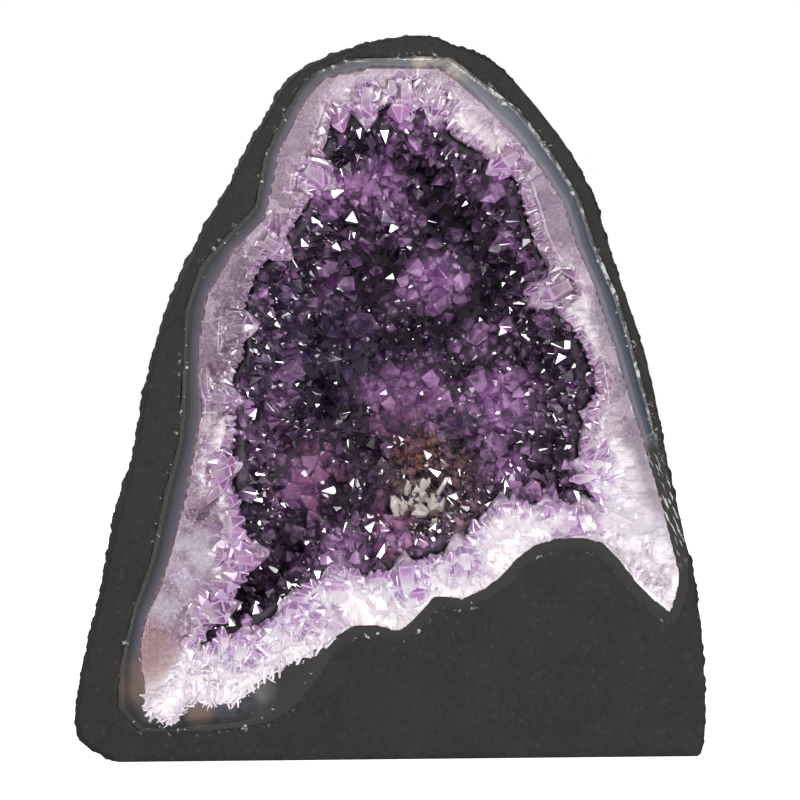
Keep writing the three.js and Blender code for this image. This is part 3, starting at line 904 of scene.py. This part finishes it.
purple_from = paint.step(tip_depth, -0.5 * MM, 6 * MM, 1.0, 0.0) * paint.step(
    paint.attribute("rise"), 0.1, 0.6)
body = paint.layers(
    pale,
    (white_part, white),
    (purple_from, purple),
    (paint.patches((-68, 180, 50, 0.7), (64, 210, 30, 0.4)), (0.16, 0.11, 0.15)),
    (paint.step(grains, 0.6, 0.72) * 0.4, (0.80, 0.70, 0.82)),
    # Painted highlight: faces with a tone above 1.2, the thin bevels along the crystals' edges, are laid
    # over with a pale lilac.
    (paint.step(tone, 1.2, 1.5) * 0.25, (0.74, 0.62, 0.76)),
)
column_material = paint.finish(Base_Color=body, Roughness=paint.step(veil, 0.3, 0.7, 0.06, 0.24))
clad(column_ends, column_material)
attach(column_ends, "root")


def grown_from(name, widen=1.0, shorten=1.0):
    """A spot with the place, lean and size of a CAD crystal."""
    points = points_of(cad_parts[name])
    middle = points.mean(0)
    towards = HOLLOW_CENTRE + (0, face_y, 0) - middle
    tip = points[np.argmax((points - middle) @ towards)]
    axis = unit(tip - middle)
    along = (points - middle) @ axis
    radius = np.linalg.norm(points - middle - np.outer(along, axis), axis=1).max()
    return middle + axis * along.min(), axis, radius * 0.92 * widen, np.ptp(along) * shorten, 0, 0.5


# tip x and z, half width, length, and the way it points, from the right round to the top
GREAT_COLUMNS = [
    (-23, 82, 9.5, 34, 84), (-43, 64, 5.5, 19, 108), (-54, 53, 5, 14, 118), (-66, 43, 4.5, 14, 110),
    (-5, 75, 7, 26, 82), (9, 75, 6, 24, 98), (22, 80, 5.5, 20, 104), (33, 88, 7, 22, 112),
    (42, 104, 7, 25, 116), (53, 108, 6, 22, 96), (64, 107, 6.5, 20, 86), (75, 106, 5, 18, 80),
    (78, 131, 7, 17, 184), (77, 121, 6.5, 18, 172), (82, 111, 7, 18, 204), (-59, 84, 6.5, 15, 4),
    (-63, 72, 5.5, 15, -8), (-70, 58, 6, 17, -24), (-80, 46, 4, 10, -30), (-60, 100, 5, 13, 12),
    (68, 203, 5.5, 14, 170), (-20, 258, 5, 14, -80), (2, 262, 5, 13, -96), (-44, 224, 5, 13, -12),
]
random = np.random.default_rng(13)
great_spots = []
for x, z, radius, length, angle in GREAT_COLUMNS:
    direction = unit(np.array([math.cos(math.radians(angle)), -0.12, math.sin(math.radians(angle))]))
    place = np.array([x * MM, 0, z * MM]) - direction * length * MM
    place[1] = face_y + (0.62 * radius + 0.12 * length) * MM
    great_spots.append((place, direction, radius * MM, length * MM, 0, random.uniform(0.3, 0.8)))
great_columns = plant(
    "great_columns", great_spots, random, worn_forms, 0.25, sawn_at=face_y - 0.3 * MM,
    root_width=0.5, cuts=4)
clad(great_columns, column_material)
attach(great_columns, "root")

random = np.random.default_rng(17)
for name in rim_names:
    place, direction, radius, length, root, tone = grown_from(name, 0.85, 0.85)
    family = [(place, direction, radius, length, root, random.uniform(0.2, 0.8))]
    for _ in range(3):
        aside = place + random.normal(0, 0.5, 3) * radius
        aside[1] = max(aside[1], face_y + 0.3 * radius)
        lean = direction + random.normal(0, 0.22, 3)
        thin = radius * random.uniform(0.4, 0.75)
        short = length * random.uniform(0.6, 0.95)
        family.append((aside, lean, thin, short, root, random.uniform(0, 1)))
    crystal = plant(name + "_grown", family, random, worn_forms, sawn_at=SAWN_AT, root_width=0.5, cuts=2)
    clad(crystal, column_material)
    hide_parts(name)
    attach(crystal, "root")

# ---------------------------------------------------------------------------------------------
# The needles.
# Thin white and lilac quartz needles that grew across each other where the crust is broken open:
# in the corner at the lower left and along the edge beside it, and in the point at the lower right.

# middle x and z, spread in x and z, and how many
NEEDLE_PLACES = [
    (-92, 33, 18, 16, 420), (-72, 29, 17, 14, 380), (-48, 42, 12, 9, 90),
    (108, 70, 6, 8, 70), (101, 72, 4, 7, 110), (100, 84, 8, 8, 50),
]
RAGGED = 2.5 * MM
INSIDE = np.array([0, 0, 120 * MM])
random = np.random.default_rng(31)
quartz_tree = flat_tree(quartz_edge)
needle_spots = []
for x, z, wide, high, count in NEEDLE_PLACES:
    for _ in range(count):
        place = np.array([
            x * MM + random.normal(0, wide / 2) * MM, 0, z * MM + random.normal(0, high / 2) * MM])
        nearest_spot, _, apart = quartz_tree.find(place)
        inside = (np.array(nearest_spot) - place) @ (INSIDE - place) < 0
        if not inside and apart > RAGGED:
            continue
        angle = random.normal(math.radians(60), 0.7)
        radius = random.uniform(0.5, 1.3) * MM
        length = random.uniform(3, 7) * MM
        rake = random.uniform(-0.45, 0.1)
        place[1] = SAWN_AT + radius + random.uniform(0, 0.8) * MM + length * max(0, -rake)
        direction = np.array([math.cos(angle), rake, math.sin(angle)])
        needle_spots.append((place, direction, radius, length, 1 * MM, random.uniform(0.3, 1)))
for spot in quartz_edge:
    if above_low_line(spot) > 74 * MM or spot[0] > -26 * MM:
        continue
    for _ in range(4):
        outward = math.atan2(spot[2] - 160 * MM, spot[0]) + random.normal(0, 0.7)
        radius = random.uniform(0.4, 1.0) * MM
        direction = np.array([math.cos(outward), random.uniform(-0.15, 0.15), math.sin(outward)])
        length = random.uniform(3, 7) * MM
        place = spot - direction * length * random.uniform(0.3, 0.7)
        place[1] = SAWN_AT + radius * random.uniform(0.2, 1.2)
        needle_spots.append((place, direction, radius, length, 1 * MM, random.uniform(0.4, 1)))
needles = plant("quartz_needles", needle_spots, random, sharp_forms)
paint = Paint("white_quartz", Roughness=0.2, Coat_Weight=0.4, Coat_Roughness=0.1)
veil = paint.noise(6 * MM, 3, 0.6)
body = paint.mix(paint.attribute("tone"), (0.40, 0.30, 0.38), (0.92, 0.86, 0.90))
body = paint.mix(paint.step(veil, 0.5, 0.7) * 0.5, body, (0.52, 0.36, 0.56))
clad(needles, paint.finish(Base_Color=body))
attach(needles, "root")

# ---------------------------------------------------------------------------------------------
# The druse.
# The lining of the hollow: a lumpy bed set all over with amethyst points, nearly black over most
# of the bed, violet in patches at listed places, and stained red-brown low down. The near-black is
# partly the amethyst's own colour and partly painted shade of the steep walls at the edge. The
# violet patches are partly its colour and partly a painted glow of light through the lit crystals.

LINING_VOXEL = 2.6 * MM
MOUTH = np.array([2 * MM, face_y, 165 * MM])
CELL = 10 * MM
# Places of the violet patches, x, z, radius and share. They are partly the amethyst's colour and partly a
# painted glow of light through the lit crystals. The crystals grow larger there.
VIOLET_AND_GLOW_PLACES = [
    (-22, 236, 13, 0.6), (-2, 238, 19, 0.75), (22, 199, 20, 1.0), (6, 190, 12, 0.5), (54, 146, 22, 0.9),
    (12, 148, 26, 0.9), (-34, 113, 18, 0.8), (-50, 126, 10, 0.5), (-20, 82, 16, 0.9), (40, 172, 12, 0.5),
    (62, 118, 14, 0.5), (30, 86, 10, 0.5), (2, 92, 10, 0.6), (-42, 152, 12, 0.3), (48, 122, 14, 0.6),
]

lining = copy_of("amethyst_druse", "druse_bed")
worked(lining, "REMESH", mode="VOXEL", voxel_size=LINING_VOXEL)
points = points_of(lining)
normals = normals_of(lining)
towards = np.einsum("ij,ij->i", normals, MOUTH - points) > 0
swell = 3.2 * lumps(points, 30 * MM, 21) + 1.6 * lumps(points, 12 * MM, 22)
points = points + normals * (np.where(towards, swell, 0) * MM)[:, None]
reshape(lining, points)
only(lining)
bpy.ops.object.shade_smooth()

random = np.random.default_rng(23)
mesh = lining.data
mesh.calc_loop_triangles()
corners = points_of(lining)[np.array([t.vertices for t in mesh.loop_triangles])]
cross = np.cross(corners[:, 1] - corners[:, 0], corners[:, 2] - corners[:, 0])
area = np.linalg.norm(cross, axis=1) / 2
facing = cross / np.maximum(2 * area, 1e-12)[:, None]
middles = corners.mean(1)
view = MOUTH - (0, 60 * MM, 0) - middles
seen = (np.einsum("ij,ij->i", facing, view) > 0) & (middles[:, 1] > face_y + 5 * MM)
weights = np.where(seen, area, 0)


def sow(count, small, large, share, cells):
    """Random places on the bed for crystals that don't crowd the ones already there."""
    spots = []
    for pick in random.choice(len(area), size=count, p=weights / weights.sum()):
        a, b, c = corners[pick]
        u, v = sorted(random.uniform(0, 1, 2))
        place = a * u + b * (v - u) + c * (1 - v)
        bright = max(
            share_here * max(0, 1 - math.hypot(place[0] - x * MM, place[2] - z * MM) / (reach * 1.2 * MM))
            for x, z, reach, share_here in VIOLET_AND_GLOW_PLACES)
        coarse = 0.5 + 0.5 * noise.noise(Vector(place) / (28 * MM)) + 0.5 * bright
        radius = (small + (large - small) * min(1, coarse * random.uniform(0.3, 1.1))) * MM
        key = tuple(int(math.floor(k / CELL)) for k in place)
        close = [
            other for dx in (-1, 0, 1) for dy in (-1, 0, 1) for dz in (-1, 0, 1)
            for other in cells.get((key[0] + dx, key[1] + dy, key[2] + dz), ())]
        if any(np.sum((place - there) ** 2) < (share * (radius + size)) ** 2 for there, size in close):
            continue
        cells.setdefault(key, []).append((place, radius))
        direction = facing[pick] + random.normal(0, 0.24, 3)
        length = radius * random.uniform(1.1, 1.9)
        spots.append((place, direction, radius, length, 1.5 * MM, random.uniform(0.1, 0.9)))
    return spots


taken = {}
crystal_spots = sow(5000, 2.2, 6.0, 0.86, taken)
crystal_spots += sow(9000, 1.1, 2.4, 0.7, taken)
druse_points = plant("druse_points", crystal_spots, random, sharp_forms, 0.4)


def amethyst(name, tone_of, **surface):
    """Purple crystal, coloured by where it stands in the hollow, with painted shade, glow and facet
    reflections mixed into the colour.
    """
    paint = Paint(name, **surface)
    tone = tone_of(paint)
    veil = paint.noise(4 * MM, 3, 0.6)
    patch = paint.noise(26 * MM, 3, 0.5)
    # Each facet's random tone sets how dark or light it is. Part of this is the crystals' own uneven
    # colour, and part is a painted reflection that gives the facets a glitter of light and dark of their
    # own.
    dark = paint.mix(tone ** 2, (0.008, 0.004, 0.010), (0.110, 0.058, 0.135))
    dark = paint.mix(paint.near(-28, 166, 46) * tone * 0.5, dark, (0.085, 0.060, 0.17))
    violet = paint.mix(tone, (0.22, 0.075, 0.27), (0.98, 0.56, 1.0))
    own = paint.attribute("own")
    # Violet patches: partly the amethyst's colour and partly painted light, a glow where light shines
    # through the crystals in the middle of the hollow.
    bright = paint.step(patch + (veil - 0.5) * 0.5, 0.44, 0.68) * 0.6 + paint.patches(*VIOLET_AND_GLOW_PLACES)
    bright = bright.capped() * paint.step(own + bright * 0.6, 0.35, 0.8, 0.25, 1.0)
    pink = paint.patches((-34, 113, 22, 1), (8, 142, 24, 0.6), (2, 92, 16, 0.6))
    rust = paint.near(20, 114, 28)
    stain = paint.mix(paint.near(14, 126, 15), (0.46, 0.27, 0.28), (0.62, 0.25, 0.17))
    sooty = paint.step(paint.noise(1.3 * MM, 2, 0.5), 0.6, 0.66) * rust
    return paint.finish(Base_Color=paint.layers(
        dark,
        (bright * paint.step(veil, 0.25, 0.6, 0.4, 1.0), violet),
        (pink * paint.step(own, 0.2, 0.7) * veil * 1.3, (0.50, 0.17, 0.33)),
        (rust * paint.step(veil, 0.4, 0.62) * 0.7, stain),
        (sooty, (0.01, 0.008, 0.008)),
    ))


druse_material = amethyst(
    "amethyst_points", lambda paint: paint.attribute("tone"),
    Roughness=0.12, Coat_Weight=1.0, Coat_Roughness=0.04, Coat_IOR=2.0, IOR=1.55)
clad(druse_points, druse_material)
clad(lining, amethyst("amethyst_bed", lambda paint: paint.noise(2 * MM, 2) * 0.5, Roughness=0.7))
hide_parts("amethyst_druse")
for piece in (lining, druse_points):
    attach(piece, "root")

# ---------------------------------------------------------------------------------------------
# The larger crystals.
# Single amethyst points that stand above the druse, each where its CAD crystal stands and of its
# lean and size.

random = np.random.default_rng(41)
for name in sorted(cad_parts):
    if not name.startswith("amethyst_crystal"):
        continue
    place, direction, radius, length, root, tone = grown_from(name)
    spot = (place, direction, radius, length, root, random.uniform(0.3, 0.9))
    crystal = plant(name + "_grown", [spot], random, sharp_forms)
    clad(crystal, druse_material)
    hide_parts(name)
    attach(crystal, "root")

# ---------------------------------------------------------------------------------------------
# The calcite.
# A small tuft of cream calcite blades with brown dust on them, low in the hollow.

paint = Paint("cream_calcite", Roughness=0.4, Coat_Weight=0.3)
cloud = paint.noise(3 * MM, 4, 0.6)
cream = paint.mix(paint.attribute("tone"), (0.80, 0.64, 0.56), (1.0, 0.95, 0.90))
cream = paint.mix(paint.step(cloud, 0.58, 0.72) * 0.7, cream, (0.20, 0.09, 0.07))
calcite_material = paint.finish(Base_Color=cream, Normal=paint.bump(cloud, 0.3, 0.4 * MM))
random = np.random.default_rng(43)
for name in sorted(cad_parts):
    if not name.startswith("calcite_blade"):
        continue
    place, direction, radius, length, root, tone = grown_from(name)
    tuft = [(place, direction, radius * 0.7, length * 0.8, root, 0.9)]
    for _ in range(22):
        lean = direction + random.normal(0, 0.4, 3)
        aside = place + random.normal(0, 1.0, 3) * radius
        thin = radius * random.uniform(0.35, 0.65)
        short = length * random.uniform(0.35, 0.62)
        tuft.append((aside, lean, thin, short, root, random.uniform(0.45, 1.0)))
    blades = plant(name + "_grown", tuft, random, sharp_forms, 0.2)
    clad(blades, calcite_material)
    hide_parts(name)
    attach(blades, "root")
